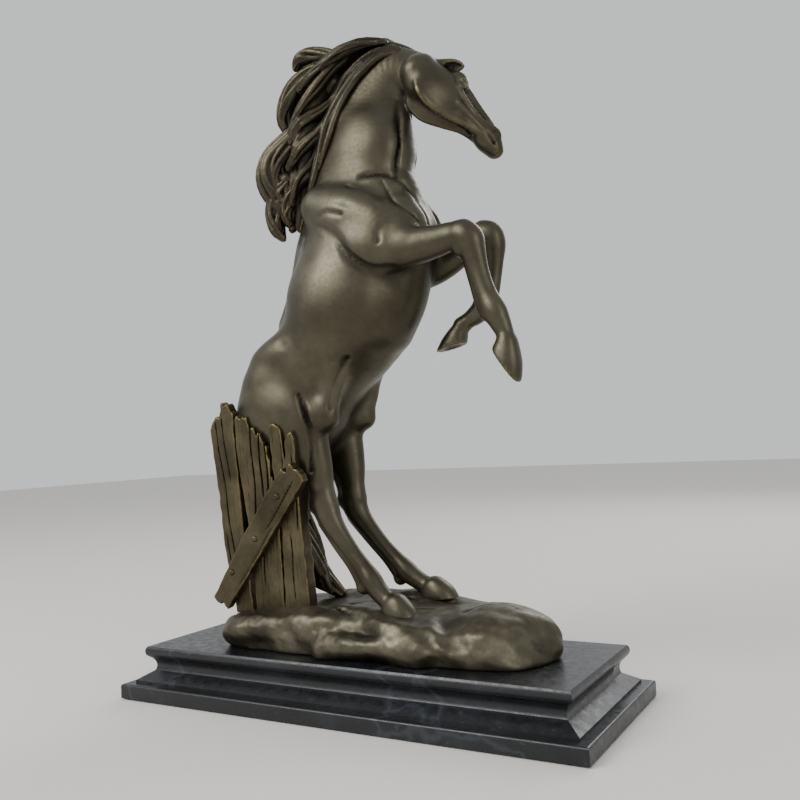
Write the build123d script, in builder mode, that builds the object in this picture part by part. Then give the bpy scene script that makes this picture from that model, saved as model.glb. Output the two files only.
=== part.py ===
"""Rearing horse statue: bronze castings welded together on a moulded marble base.

Millimetres, +Z up. The origin is the centre of the footprint on the table, +X is the way
the horse faces and +Y is its left side.
"""

import os
from math import cos, radians, sin

from build123d import *

os.makedirs("parts", exist_ok=True)

# Driving dimensions
base_length = 350.0
base_width = 140.0
base_height = 36.0
felt_thickness = 1.0
felt_inset = 5.0
plinth_top = 11.0
plinth_edge_radius = 1.6
tier_inset = 7.5

ground_rise = 28.0
ground_wall = 4.0
boss_positions = [(-60.0, 2.0), (75.0, 0.0)]
boss_diameter = 16.0
boss_reach = 36.0

stud_diameter = 6.0
stud_clearance = 7.0
washer_diameter = 18.0
washer_thickness = 1.6
nut_across_flats = 10.0
nut_height = 5.0
counterbore_diameter = 21.0
counterbore_depth = 8.5

body_wall = 4.0

fence_foot = (0.0, -24.0, 58.0)
fence_lean = 7.4
board_thickness = 8.0
post_thickness = 10.0
brace_thickness = 7.0
nail_diameter = 5.0
nail_height = 1.8
nail_taper = 30.0


def finish(builder, name):
    """Label a finished piece and write it under its own name."""
    builder.part.label = name
    export_step(builder.part, f"parts/{name}.step")


def station_plane(x, y, z, pitch, yaw):
    """Plane of one cross-section; its normal climbs by pitch and turns left by yaw, in degrees."""
    level = cos(radians(pitch))
    return Plane(
        origin=(x, y, z),
        x_dir=(-sin(radians(yaw)), cos(radians(yaw)), 0),
        z_dir=(level * cos(radians(yaw)), level * sin(radians(yaw)), sin(radians(pitch))),
    )


def limb(stations, wall=0.0):
    """Loft through ellipses: x, y, z, pitch, yaw, half width and half depth of each, less the wall."""
    with BuildPart() as form:
        for x, y, z, pitch, yaw, half_width, half_depth in stations:
            with BuildSketch(station_plane(x, y, z, pitch, yaw)):
                Ellipse(half_width - wall, half_depth - wall)
        loft()
    return form.part


# Felt under the marble, cut back from its edges so that it doesn't show
with BuildPart() as felt_sheet:
    with BuildSketch():
        Rectangle(base_length - 2 * felt_inset, base_width - 2 * felt_inset)
    extrude(amount=felt_thickness)

# Marble plinth: a plain slab with two counterbored holes for the studs, cut from below
with BuildPart() as marble_plinth:
    with BuildSketch(Plane.XY.offset(felt_thickness)):
        Rectangle(base_length, base_width)
    extrude(amount=plinth_top - felt_thickness)
    fillet(marble_plinth.edges().group_by(Axis.Z)[-1], plinth_edge_radius)
    with BuildSketch(Plane.XY.offset(felt_thickness)):
        with Locations(*boss_positions):
            Circle(counterbore_diameter / 2)
    extrude(amount=counterbore_depth, mode=Mode.SUBTRACT)
    with BuildSketch(Plane.XY.offset(felt_thickness)):
        with Locations(*boss_positions):
            Circle(stud_clearance / 2)
    extrude(amount=plinth_top, mode=Mode.SUBTRACT)


def tier_section(plane, plinth_size):
    """Moulded edge on both sides of a block: a step, a long slope, a cove and a rounded nose."""
    half = plinth_size / 2
    with BuildSketch(plane) as section:
        with BuildLine():
            foot = Line((0, plinth_top), (half - tier_inset, plinth_top))
            step = Line(foot @ 1, (half - tier_inset, plinth_top + 1.8))
            slope = Line(step @ 1, (half - 17.4, plinth_top + 7.6))
            cove = ThreePointArc(slope @ 1, (half - 18.2, 23.2), (half - 14.7, 28.4))
            nose = ThreePointArc(cove @ 1, (half - 12.5, 32.2), (half - 13.8, base_height))
            Line(nose @ 1, (0, base_height))
            Line((0, base_height), (0, plinth_top))
        make_face()
        mirror(about=Plane.YZ)
    return section.sketch


# Moulded marble tier: the same edge runs round all four sides and mitres at the corners
long_edges = tier_section(Plane.XZ, base_length)
short_edges = tier_section(Plane.YZ, base_width)
with BuildPart() as marble_tier:
    extrude(long_edges, amount=base_width / 2, both=True)
    extrude(short_edges, amount=base_length / 2, both=True, mode=Mode.INTERSECT)
    with BuildSketch(Plane.XY.offset(plinth_top)):
        with Locations(*boss_positions):
            Circle(stud_clearance / 2)
    extrude(amount=base_height - plinth_top, mode=Mode.SUBTRACT)

# Studs, washers and nuts that hold the bronze down on the marble
stud_foot = felt_thickness + 1.0
stud_tip = base_height + 14.0
washer_foot = felt_thickness + counterbore_depth - washer_thickness
with BuildPart() as mounting_studs:
    with BuildSketch(Plane.XY.offset(stud_foot)):
        with Locations(*boss_positions):
            Circle(stud_diameter / 2)
    extrude(amount=stud_tip - stud_foot)

with BuildPart() as mounting_washers:
    with BuildSketch(Plane.XY.offset(washer_foot)):
        with Locations(*boss_positions):
            Circle(washer_diameter / 2)
            Circle(stud_clearance / 2, mode=Mode.SUBTRACT)
    extrude(amount=washer_thickness)

with BuildPart() as mounting_nuts:
    with BuildSketch(Plane.XY.offset(washer_foot - nut_height)):
        with Locations(*boss_positions):
            RegularPolygon(nut_across_flats / 2, 6, major_radius=False)
            Circle(stud_diameter / 2, mode=Mode.SUBTRACT)
    extrude(amount=nut_height)

# Outline of the ground casting where it meets the marble, anticlockwise from the left end
ground_outline = [
    (-116, -18), (-92, -42), (-35, -39), (30, -43), (100, -43), (122, -27),
    (124, 5), (112, 38), (60, 46), (0, 44), (-60, 46), (-104, 30),
]
ground_centre = (2.0, 1.0)
ground_slope = 7.0


def ground_ring(drawn_in, level, slope):
    """Outline of the ground at one level, drawn in towards its centre and tilted up at the back."""
    points = [Vector(x - ground_centre[0], y - ground_centre[1]) for x, y in ground_outline]
    uphill = (0, -sin(radians(slope)), cos(radians(slope)))
    plane = Plane(origin=(*ground_centre, level), x_dir=(1, 0, 0), z_dir=uphill)
    with BuildSketch(plane) as ring:
        with BuildLine():
            Spline(*[point - point.normalized() * drawn_in for point in points], periodic=True)
        make_face()
    return ring.sketch


def ground_mound(inset, top):
    """Low hill with a soft top that climbs towards the back, drawn in by an inset all round."""
    rings = [
        ground_ring(inset, base_height - 0.1, 0),
        ground_ring(inset + 3.0, base_height + 0.55 * (top - base_height), 0.4 * ground_slope),
        ground_ring(inset + 12.0, top, ground_slope),
    ]
    with BuildPart() as hill:
        loft(rings)
    return hill.part


def boulder(shrink):
    """Smooth boulder at the front end of the ground."""
    return limb([
        (48, 2, 46, 0, 0, 12 - shrink, 10 - shrink),
        (62, 2, 46, 0, 0, 32 - shrink, 22 - shrink),
        (84, 2, 46, 0, 0, 37 - shrink, 24 - shrink),
        (106, 1, 44, 0, 0, 34 - shrink, 20 - shrink),
        (121, 0, 42, 0, 0, 22 - shrink, 11 - shrink),
        (125, 0, 41, 0, 0, 9 - shrink / 2, 5 - shrink / 2),
    ])


# Ground casting: hollow shell, open underneath, with two bosses that take the studs
ground_top = base_height + ground_rise
with BuildPart() as ground_solid:
    add(ground_mound(0.0, ground_top))
    add(boulder(0.0))
    split(bisect_by=Plane.XY.offset(base_height), keep=Keep.TOP)

with BuildPart() as ground_cavity:
    add(ground_mound(ground_wall, ground_top - ground_wall))
    add(boulder(ground_wall))
    with BuildSketch(Plane.XY.offset(base_height)):
        with Locations(*boss_positions):
            Circle(boss_diameter / 2)
    extrude(amount=boss_reach, mode=Mode.SUBTRACT)

with BuildPart() as ground_casting:
    add(ground_solid.part)
    add(ground_cavity.part, mode=Mode.SUBTRACT)
    add(mounting_studs.part, mode=Mode.SUBTRACT)

# Torso: rump, barrel and chest, from the flanks up to the weld at the foot of the neck
torso_stations = [
    (-64, 0, 168, 72, 0, 10, 14),
    (-62, 0, 176, 72, 0, 29, 36),
    (-56, 0, 200, 68, 0, 38, 49),
    (-42, 0, 230, 62, 0, 40, 51),
    (-20, 0, 260, 60, 0, 41, 53),
    (0, 0, 290, 66, 0, 39, 51),
    (9, 0, 316, 78, 0, 35, 47),
    (13, 0, 338, 90, 0, 30, 43),
]
torso_outer = limb(torso_stations)
with BuildPart() as torso_casting:
    add(torso_outer)
    add(limb(torso_stations[1:], wall=body_wall), mode=Mode.SUBTRACT)

# Neck: hollow, arched over at the poll to the weld behind the jaw
neck_stations = [
    (13, 0, 338, 90, 0, 30, 43),
    (9, 1, 365, 90, 0, 26, 40),
    (7, 3, 393, 85, 0, 22, 37),
    (17, 6, 418, 55, 5, 18, 31),
    (36, 9, 429, 12, 15, 15.5, 24),
    (50, 12, 425, -22, 25, 14, 20),
]
neck_outer = limb(neck_stations)
with BuildPart() as neck_casting:
    add(neck_outer)
    add(limb(neck_stations, wall=body_wall), mode=Mode.SUBTRACT)

# Head with its two ears, turned to the left and tucked down
with BuildPart() as head_casting:
    add(limb([
        (50, 12, 425, -22, 25, 14, 20),
        (60, 17, 417, -45, 33, 13.5, 18),
        (70, 23, 404, -54, 38, 11.5, 14.5),
        (79, 30, 392, -54, 40, 8.5, 10.5),
        (86, 35, 382, -54, 40, 8, 9),
        (89, 37.5, 378, -54, 40, 5.5, 6),
    ]))
    add(limb([(63, 7, 432, 10, -15, 5, 4), (73, 4, 435, 0, -10, 5, 4), (85, 2, 431, -20, -5, 1.5, 1.5)]))
    add(limb([(57, 24, 436, 15, 35, 5, 4), (66, 30, 440, 5, 35, 5, 4), (76, 37, 438, -15, 35, 1.5, 1.5)]))
    add(neck_outer, mode=Mode.SUBTRACT)

# Mane: one casting along the crest, and two free locks blown back from it
mane_crest = limb([
    (40, 10, 450, 180, 0, 6, 7),
    (18, 7, 454, 188, 0, 12, 9),
    (-8, 2, 446, 215, 0, 19, 13),
    (-27, -2, 420, 245, 0, 21, 14),
    (-36, -3, 390, 262, 0, 21, 14),
    (-42, -3, 358, 260, 0, 17, 13),
    (-52, -3, 332, 255, 0, 8, 8),
])
with BuildPart() as mane_casting:
    add(mane_crest)
    add(neck_outer, mode=Mode.SUBTRACT)
    add(torso_outer, mode=Mode.SUBTRACT)

upper_lock_form = limb([
    (-16, 0, 440, 170, 0, 13, 12),
    (-36, 0, 436, 195, 0, 12, 11),
    (-50, 0, 424, 240, 0, 10, 9),
    (-54, 0, 406, 270, 0, 5, 4),
])
with BuildPart() as upper_mane_lock:
    add(upper_lock_form)
    add(mane_crest, mode=Mode.SUBTRACT)
    add(neck_outer, mode=Mode.SUBTRACT)

with BuildPart() as lower_mane_lock:
    add(limb([
        (-38, -2, 398, 200, 0, 14, 13),
        (-58, -2, 386, 235, 0, 13, 13),
        (-66, -3, 366, 265, 0, 11, 12),
        (-66, -4, 344, 280, 0, 8, 8),
        (-63, -5, 329, 285, 0, 3, 3),
    ]))
    add(mane_crest, mode=Mode.SUBTRACT)
    add(torso_outer, mode=Mode.SUBTRACT)
    add(upper_lock_form, mode=Mode.SUBTRACT)


# Forelegs, folded at the knee, welded to the chest at the elbow
with BuildPart() as right_foreleg_casting:
    add(limb([
        (26, -22, 308, -6, 0, 13, 18),
        (46, -24, 304, -3, 0, 11, 14.5),
        (66, -24, 305, 3, 0, 9, 12),
        (84, -24, 306, -5, 0, 7.5, 9.5),
        (96, -24, 305, -25, 0, 8.5, 10),
        (104, -24, 300, -40, 0, 6, 6),
    ]))
    add(limb([
        (98, -24, 302, -76, 0, 7, 8),
        (102, -24, 290, -75, 0, 6, 7.5),
        (105, -24, 277, -74, 0, 5.5, 6.5),
        (110, -24, 264, -68, 0, 5.5, 6.5),
        (115, -24, 254, -64, 0, 7, 8.5),
        (118, -24, 246, -68, 0, 5.5, 6.5),
        (120, -24, 236, -76, 0, 6, 7),
    ]))
    add(limb([(119, -24, 241, -80, 0, 7.5, 8), (120, -24, 222, -110, 0, 9, 10)]))
    add(torso_outer, mode=Mode.SUBTRACT)

with BuildPart() as left_foreleg_casting:
    add(limb([
        (26, 20, 299, 4, 0, 13, 17),
        (46, 22, 300, 10, 0, 11, 14),
        (65, 22, 305, 16, 0, 9, 11.5),
        (82, 22, 311, 8, 0, 7.5, 9),
        (92, 22, 313, -15, 0, 8.5, 9.5),
        (100, 22, 310, -30, 0, 6, 6),
    ]))
    add(limb([
        (94, 22, 312, -88, 0, 7, 8),
        (94, 22, 299, -90, 0, 6, 7.5),
        (92, 22, 285, -97, 0, 5.5, 6.5),
        (89, 22, 271, -104, 0, 6.5, 7.5),
        (86, 22, 262, -108, 0, 6, 6),
    ]))
    add(limb([
        (90, 22, 266, -170, 0, 6.5, 7),
        (78, 22, 263, -165, 0, 5.5, 6),
        (67, 22, 259, -150, 0, 7, 7),
    ]))
    add(limb([(71, 22, 261, -130, 0, 7.5, 7.5), (60, 22, 244, -110, 0, 9, 10)]))
    add(torso_outer, mode=Mode.SUBTRACT)

# Hind legs, from the flanks down to hooves that stand on the ground casting
with BuildPart() as right_hind_leg_casting:
    add(limb([
        (-54, -18, 212, -62, 0, 14, 27),
        (-40, -20, 190, -74, 0, 13.5, 23),
        (-31, -22, 166, -86, 0, 10.5, 14),
        (-28, -21, 147, -86, 0, 7.5, 9.5),
        (-26, -20, 132, -70, 0, 8, 10.5),
        (-15, -19, 117, -54, 0, 5.5, 7),
        (-3, -18, 103, -50, 0, 5, 6.5),
        (6, -18, 92, -50, 0, 5.5, 6.5),
        (13, -18, 83, -46, 0, 7.5, 8),
        (22, -19, 75, -42, 0, 6, 6.5),
        (28, -20, 68, -55, 0, 7, 7),
    ]))
    add(limb([(26, -19, 73, -62, 0, 8.5, 8), (32, -20, 57, -88, 0, 10, 14)]))
    add(torso_outer, mode=Mode.SUBTRACT)
    add(ground_solid.part, mode=Mode.SUBTRACT)

with BuildPart() as left_hind_leg_casting:
    add(limb([
        (-54, 18, 212, -62, 0, 14, 27),
        (-40, 20, 190, -74, 0, 13.5, 23),
        (-31, 22, 166, -86, 0, 10.5, 14),
        (-28, 21, 147, -86, 0, 7.5, 9.5),
        (-26, 20, 133, -70, 0, 8, 10.5),
        (-14, 20, 119, -52, 0, 5.5, 7),
        (-1, 20, 105, -46, 0, 5, 6.5),
        (10, 20, 94, -44, 0, 5.5, 6.5),
        (18, 20, 86, -40, 0, 7.5, 8),
        (28, 20, 80, -36, 0, 6, 6.5),
        (35, 20, 74, -50, 0, 7, 7),
    ]))
    add(limb([(33, 20, 78, -58, 0, 8.5, 8), (39, 20, 62, -88, 0, 10, 14)]))
    add(torso_outer, mode=Mode.SUBTRACT)
    add(ground_solid.part, mode=Mode.SUBTRACT)

# Fence: weathered boards that stand on the ground and lean out at the top, tied by a brace
lean_normal = (0, -cos(radians(fence_lean)), -sin(radians(fence_lean)))
fence_face = Plane(origin=fence_foot, x_dir=(1, 0, 0), z_dir=lean_normal)


def board(outline, thickness, front=0.0):
    """Board with its outline drawn up the leaning fence, set forward of its face by the front value."""
    with BuildPart() as plank:
        with BuildSketch(fence_face.offset(front)):
            with BuildLine():
                Polyline(*outline, close=True)
            make_face()
        extrude(amount=-thickness)
    return plank.part


with BuildPart() as left_fence_board:
    add(board(
        [(-103, 0), (-87, 0), (-87, 60), (-85, 132), (-84, 146), (-89, 152), (-96, 149), (-97, 143),
         (-103, 141), (-107, 134), (-106, 80), (-107, 50)],
        board_thickness,
    ))
    add(ground_solid.part, mode=Mode.SUBTRACT)
    add(torso_outer, mode=Mode.SUBTRACT)

with BuildPart() as middle_fence_board:
    add(board(
        [(-84, 0), (-59, 0), (-54, 68), (-55, 100), (-56, 121), (-61, 125), (-66, 135), (-73, 142),
         (-83, 140), (-85, 116), (-82, 60)],
        board_thickness,
    ))
    add(ground_solid.part, mode=Mode.SUBTRACT)
    add(torso_outer, mode=Mode.SUBTRACT)

with BuildPart() as right_fence_post:
    add(board(
        [(-58, 0), (-36, 0), (-35, 80), (-34, 112), (-33, 126), (-36, 130), (-41, 125), (-43, 112),
         (-44, 132), (-50, 136), (-54, 136), (-54, 100), (-53, 68)],
        post_thickness,
    ))
    add(ground_solid.part, mode=Mode.SUBTRACT)
    add(torso_outer, mode=Mode.SUBTRACT)
    add(right_hind_leg_casting.part, mode=Mode.SUBTRACT)

with BuildPart() as fence_brace:
    add(board(
        [(-105, 4), (-24, 97), (-28, 106), (-34, 111), (-38, 105), (-42, 107), (-84, 57), (-117, 13),
         (-111, 6), (-107, 8)],
        brace_thickness,
        front=brace_thickness,
    ))
    add(ground_solid.part, mode=Mode.SUBTRACT)

with BuildPart() as brace_nails:
    with BuildSketch(fence_face.offset(brace_thickness)):
        with Locations((-48, 87), (-72, 57), (-97, 32)):
            Circle(nail_diameter / 2)
    extrude(amount=nail_height, taper=nail_taper)

# Tail: hangs behind the fence from the dock to the ground
with BuildPart() as tail_casting:
    add(limb([
        (-92, 3, 212, 195, 0, 9, 8),
        (-108, 4, 200, 235, 0, 12, 11),
        (-108, 5, 176, 275, 0, 14, 13),
        (-94, 6, 146, 295, 0, 16, 15),
        (-76, 7, 112, 300, 0, 15, 15),
        (-54, 9, 84, 320, 0, 12, 12),
        (-34, 12, 70, 335, 0, 6, 6),
    ]))
    add(torso_outer, mode=Mode.SUBTRACT)
    add(ground_solid.part, mode=Mode.SUBTRACT)
    add(left_fence_board.part, mode=Mode.SUBTRACT)
    add(middle_fence_board.part, mode=Mode.SUBTRACT)
    add(right_fence_post.part, mode=Mode.SUBTRACT)

finish(felt_sheet, "felt_sheet")
finish(marble_plinth, "marble_plinth")
finish(marble_tier, "marble_moulded_tier")
finish(mounting_studs, "mounting_studs")
finish(mounting_washers, "mounting_washers")
finish(mounting_nuts, "mounting_nuts")
finish(ground_casting, "ground_casting")
finish(torso_casting, "torso_casting")
finish(neck_casting, "neck_casting")
finish(head_casting, "head_casting")
finish(mane_casting, "mane_casting")
finish(upper_mane_lock, "upper_mane_lock")
finish(lower_mane_lock, "lower_mane_lock")
finish(right_foreleg_casting, "right_foreleg_casting")
finish(left_foreleg_casting, "left_foreleg_casting")
finish(right_hind_leg_casting, "right_hind_leg_casting")
finish(left_hind_leg_casting, "left_hind_leg_casting")
finish(tail_casting, "tail_casting")
finish(left_fence_board, "left_fence_board")
finish(middle_fence_board, "middle_fence_board")
finish(right_fence_post, "right_fence_post")
finish(fence_brace, "fence_brace")
finish(brace_nails, "brace_nails")
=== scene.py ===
from math import cos, pi, radians, sin

import bmesh
import bpy
import numpy as np
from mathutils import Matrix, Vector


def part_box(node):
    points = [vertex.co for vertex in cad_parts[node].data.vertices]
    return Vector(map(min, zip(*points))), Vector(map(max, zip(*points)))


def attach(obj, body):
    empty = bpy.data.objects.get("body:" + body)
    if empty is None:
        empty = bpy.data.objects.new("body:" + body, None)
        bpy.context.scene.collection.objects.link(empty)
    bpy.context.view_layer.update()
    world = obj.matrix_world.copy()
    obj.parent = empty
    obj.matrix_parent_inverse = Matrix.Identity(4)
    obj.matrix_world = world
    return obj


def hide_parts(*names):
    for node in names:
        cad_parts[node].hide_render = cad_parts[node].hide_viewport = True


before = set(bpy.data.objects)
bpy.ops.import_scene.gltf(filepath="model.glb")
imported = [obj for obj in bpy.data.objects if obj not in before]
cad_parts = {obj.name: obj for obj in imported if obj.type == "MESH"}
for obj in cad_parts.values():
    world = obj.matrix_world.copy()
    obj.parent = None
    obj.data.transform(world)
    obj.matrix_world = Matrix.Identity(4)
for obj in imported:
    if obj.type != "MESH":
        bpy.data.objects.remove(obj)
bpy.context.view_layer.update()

import openvdb
from mathutils import Matrix, Vector

# Camera: the figure stands on a table and is seen from a little above the foot of the base,
# from its right front quarter, so that the head is looked up at and the marble looked down on.
MM = 0.001
camera_place = Vector((333.8, -527.9, 178.8)) * MM
camera_right = Vector((0.86430, 0.50075, -0.04730))
camera_up = Vector((0.06299, -0.01446, 0.99791))
camera_data = bpy.data.cameras.new("studio_camera")
camera_data.sensor_width = 36.0
camera_data.lens = 39.87
camera_data.clip_start = 0.01
camera = bpy.data.objects.new("studio_camera", camera_data)
bpy.context.scene.collection.objects.link(camera)
camera.matrix_world = Matrix.Translation(camera_place) @ Matrix(
    (camera_right, camera_up, camera_right.cross(camera_up))
).transposed().to_4x4()
bpy.context.scene.camera = camera


# Light: a plain studio with one large soft light from the left, a weaker one from the right,
# one behind that draws the edges, and pale walls all round.
def srgb(code):
    """Linear colour, with alpha, from an sRGB hex value such as 4d473b."""
    parts = [int(code[i:i + 2], 16) / 255.0 for i in (0, 2, 4)]
    return tuple(c / 12.92 if c <= 0.04045 else ((c + 0.055) / 1.055) ** 2.4 for c in parts) + (1.0,)


world = bpy.data.worlds.new("studio")
bpy.context.scene.world = world
world.use_nodes = True
world.node_tree.nodes["Background"].inputs[0].default_value = srgb("eceef0")
world.node_tree.nodes["Background"].inputs[1].default_value = 0.9
figure_middle = Vector((0.0, 0.0, 0.23))


def soft_light(name, place, size, watts):
    """Square soft light aimed at the middle of the figure."""
    data = bpy.data.lights.new(name, "AREA")
    data.size = size
    data.energy = watts
    lamp = bpy.data.objects.new(name, data)
    bpy.context.scene.collection.objects.link(lamp)
    lamp.location = place
    lamp.rotation_euler = (figure_middle - Vector(place)).to_track_quat("-Z", "Y").to_euler()


soft_light("key_light", (-0.75, -1.25, 1.25), size=1.0, watts=26.0)
soft_light("fill_light", (1.5, -0.9, 0.7), size=0.9, watts=7.0)
soft_light("rim_light", (0.2, 1.4, 1.1), size=0.8, watts=9.0)

# Floor: one wide sheet of seamless studio paper, laid flat under the base. It isn't part of the
# figure and only catches its shadow.
def node(material, kind, links=(), **settings):
    """Adds a shader node, sets its properties and inputs by name, and links (input, output) pairs."""
    tree = material.node_tree
    made = tree.nodes.new("ShaderNode" + kind)
    for name, value in settings.items():
        if name.startswith("in_"):
            key = name[3:]
            made.inputs[int(key) if key.isdigit() else key.replace("_", " ")].default_value = value
        else:
            setattr(made, name, value)
    for socket, output in links:
        tree.links.new(output, made.inputs[socket])
    return made


def new_material(name):
    """A material with an empty node tree."""
    material = bpy.data.materials.new(name)
    material.use_nodes = True
    material.node_tree.nodes.clear()
    return material


floor_mesh = bpy.data.meshes.new("studio_floor")
half_floor = 4.0
floor_corners = [(x * half_floor, y * half_floor, 0) for x, y in ((-1, -1), (1, -1), (1, 1), (-1, 1))]
floor_mesh.from_pydata(floor_corners, [], [(0, 1, 2, 3)])
floor = bpy.data.objects.new("studio_floor", floor_mesh)
bpy.context.scene.collection.objects.link(floor)
# uncoated paper: warm pale grey, quite matt
paper = new_material("studio_paper")
paper_surface = node(paper, "BsdfPrincipled", in_Base_Color=srgb("d9d6cf"), in_Roughness=0.9)
node(paper, "OutputMaterial", [(0, paper_surface.outputs[0])])
floor_mesh.materials.append(paper)

# Marble base: two slabs of black marble, a plain plinth and a moulded tier, sawn, ground to their
# profiles, polished and glued one on the other. Their sharp edges are worn a little round.
def ramp(material, source, stops):
    """Colour ramp through (position, colour) stops."""
    made = node(material, "ValToRGB", [(0, source)])
    elements = made.color_ramp.elements
    while len(elements) < len(stops):
        elements.new(0.5)
    for element, (position, colour) in zip(elements, stops):
        element.position = position
        element.color = colour
    return made.outputs[0]


def pattern_scale(size):
    """Scale of a pattern whose cells are this many millimetres across."""
    return 1 / (size * MM)


# polished marble: near black, with grey clouds, hairline veins and chalky scuffs that dull the gloss
black_marble = new_material("polished_black_marble")
place = node(black_marble, "TexCoord").outputs["Object"]
white, black = (1, 1, 1, 1), (0, 0, 0, 1)
cloud = node(black_marble, "TexNoise", [("Vector", place)], in_Scale=pattern_scale(35.7), in_Detail=6.0,
             in_Roughness=0.6)
vein_bend = node(black_marble, "TexNoise", [("Vector", place)], in_Scale=pattern_scale(62.5),
                 in_Detail=5.0)
vein_place = node(black_marble, "VectorMath", [(0, place), (1, vein_bend.outputs["Color"])],
                  operation="MULTIPLY_ADD", in_1=(1, 1, 1))
vein_cells = node(black_marble, "TexVoronoi", [("Vector", vein_place.outputs[0])],
                  feature="DISTANCE_TO_EDGE", in_Scale=pattern_scale(111))
vein = ramp(black_marble, vein_cells.outputs[0], [(0.0, white), (0.012, black)])
stone = ramp(black_marble, cloud.outputs[0],
             [(0.30, srgb("0c0d0f")), (0.55, srgb("141619")), (0.75, srgb("24272c"))])
chalk = node(black_marble, "TexNoise", [("Vector", place)], in_Scale=pattern_scale(5.88), in_Detail=8.0,
             in_Roughness=0.75)
chalk_mask = ramp(black_marble, chalk.outputs[0], [(0.60, black), (0.74, white)])
rubbed = node(black_marble, "Mix", [(0, chalk_mask), (6, stone)], data_type="RGBA", in_7=srgb("3c4046"))
veined = node(black_marble, "Mix", [(0, vein), (6, rubbed.outputs[2])], data_type="RGBA",
              in_7=srgb("2b2f35"))
gloss = ramp(black_marble, chalk.outputs[0], [(0.35, (0.22, 0.22, 0.22, 1)), (0.7, (0.5, 0.5, 0.5, 1))])
marble_bump = node(black_marble, "Bump", [("Height", chalk.outputs[0])], in_Strength=0.12,
                   in_Distance=0.0004)
marble_links = [("Base Color", veined.outputs[2]), ("Roughness", gloss),
                ("Normal", marble_bump.outputs[0])]
marble_surface = node(black_marble, "BsdfPrincipled", marble_links, in_IOR=1.5)
node(black_marble, "OutputMaterial", [(0, marble_surface.outputs[0])])


def refinish(name, material):
    """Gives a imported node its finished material."""
    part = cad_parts[name]
    part.data.materials.clear()
    part.data.materials.append(material)
    return part


arris_wear = 0.6
for name in ("marble_plinth", "marble_moulded_tier"):
    slab = refinish(name, black_marble)
    arris = slab.modifiers.new("worn_arris", "BEVEL")
    arris.width = arris_wear * MM
    arris.segments = 3
    arris.limit_method = "ANGLE"
    arris.angle_limit = radians(40)
    arris.harden_normals = True

# Felt: a thin sheet of black wool felt, die-cut to size and glued under the plinth, where it
# covers the counterbores.

# wool felt: soft charcoal fuzz without gloss; its fibres are drawn fifty times as coarse as real
wool_felt = new_material("black_wool_felt")
place = node(wool_felt, "TexCoord").outputs["Object"]
fibre = node(wool_felt, "TexNoise", [("Vector", place)], in_Scale=pattern_scale(1.11), in_Detail=6.0)
felt_colour = ramp(wool_felt, fibre.outputs[0], [(0.3, srgb("15171a")), (0.7, srgb("30333a"))])
felt_bump = node(wool_felt, "Bump", [("Height", fibre.outputs[0])], in_Strength=0.5, in_Distance=0.0003)
felt_links = [("Base Color", felt_colour), ("Normal", felt_bump.outputs[0])]
felt_surface = node(wool_felt, "BsdfPrincipled", felt_links, in_Roughness=0.95)
node(wool_felt, "OutputMaterial", [(0, felt_surface.outputs[0])])
refinish("felt_sheet", wool_felt)

# Studs, washers and nuts: rolled and stamped steel, zinc plated. They clamp the ground casting to
# the marble from the counterbores and are hidden by the felt.

# bright zinc: pale grey metal, each crystal of the plating a little brighter or duller
zinc_plate = new_material("zinc_plated_steel")
place = node(zinc_plate, "TexCoord").outputs["Object"]
spangle = node(zinc_plate, "TexVoronoi", [("Vector", place)], in_Scale=pattern_scale(1.67))
zinc_colour = ramp(zinc_plate, spangle.outputs[0], [(0.0, srgb("a8abae")), (1.0, srgb("c9cccd"))])
zinc_rough = ramp(zinc_plate, spangle.outputs[0], [(0.0, (0.28, 0.28, 0.28, 1)),
                                                   (1.0, (0.45, 0.45, 0.45, 1))])
zinc_links = [("Base Color", zinc_colour), ("Roughness", zinc_rough)]
zinc_surface = node(zinc_plate, "BsdfPrincipled", zinc_links, in_Metallic=1.0)
node(zinc_plate, "OutputMaterial", [(0, zinc_surface.outputs[0])])
for name in ("mounting_studs", "mounting_washers", "mounting_nuts"):
    refinish(name, zinc_plate)

# Ground: a hollow bronze casting of a low earth mound with a boulder at its front end, bolted
# down on the marble. It is modelled as a sculptor does, in clay that is built up and smoothed.


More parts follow.
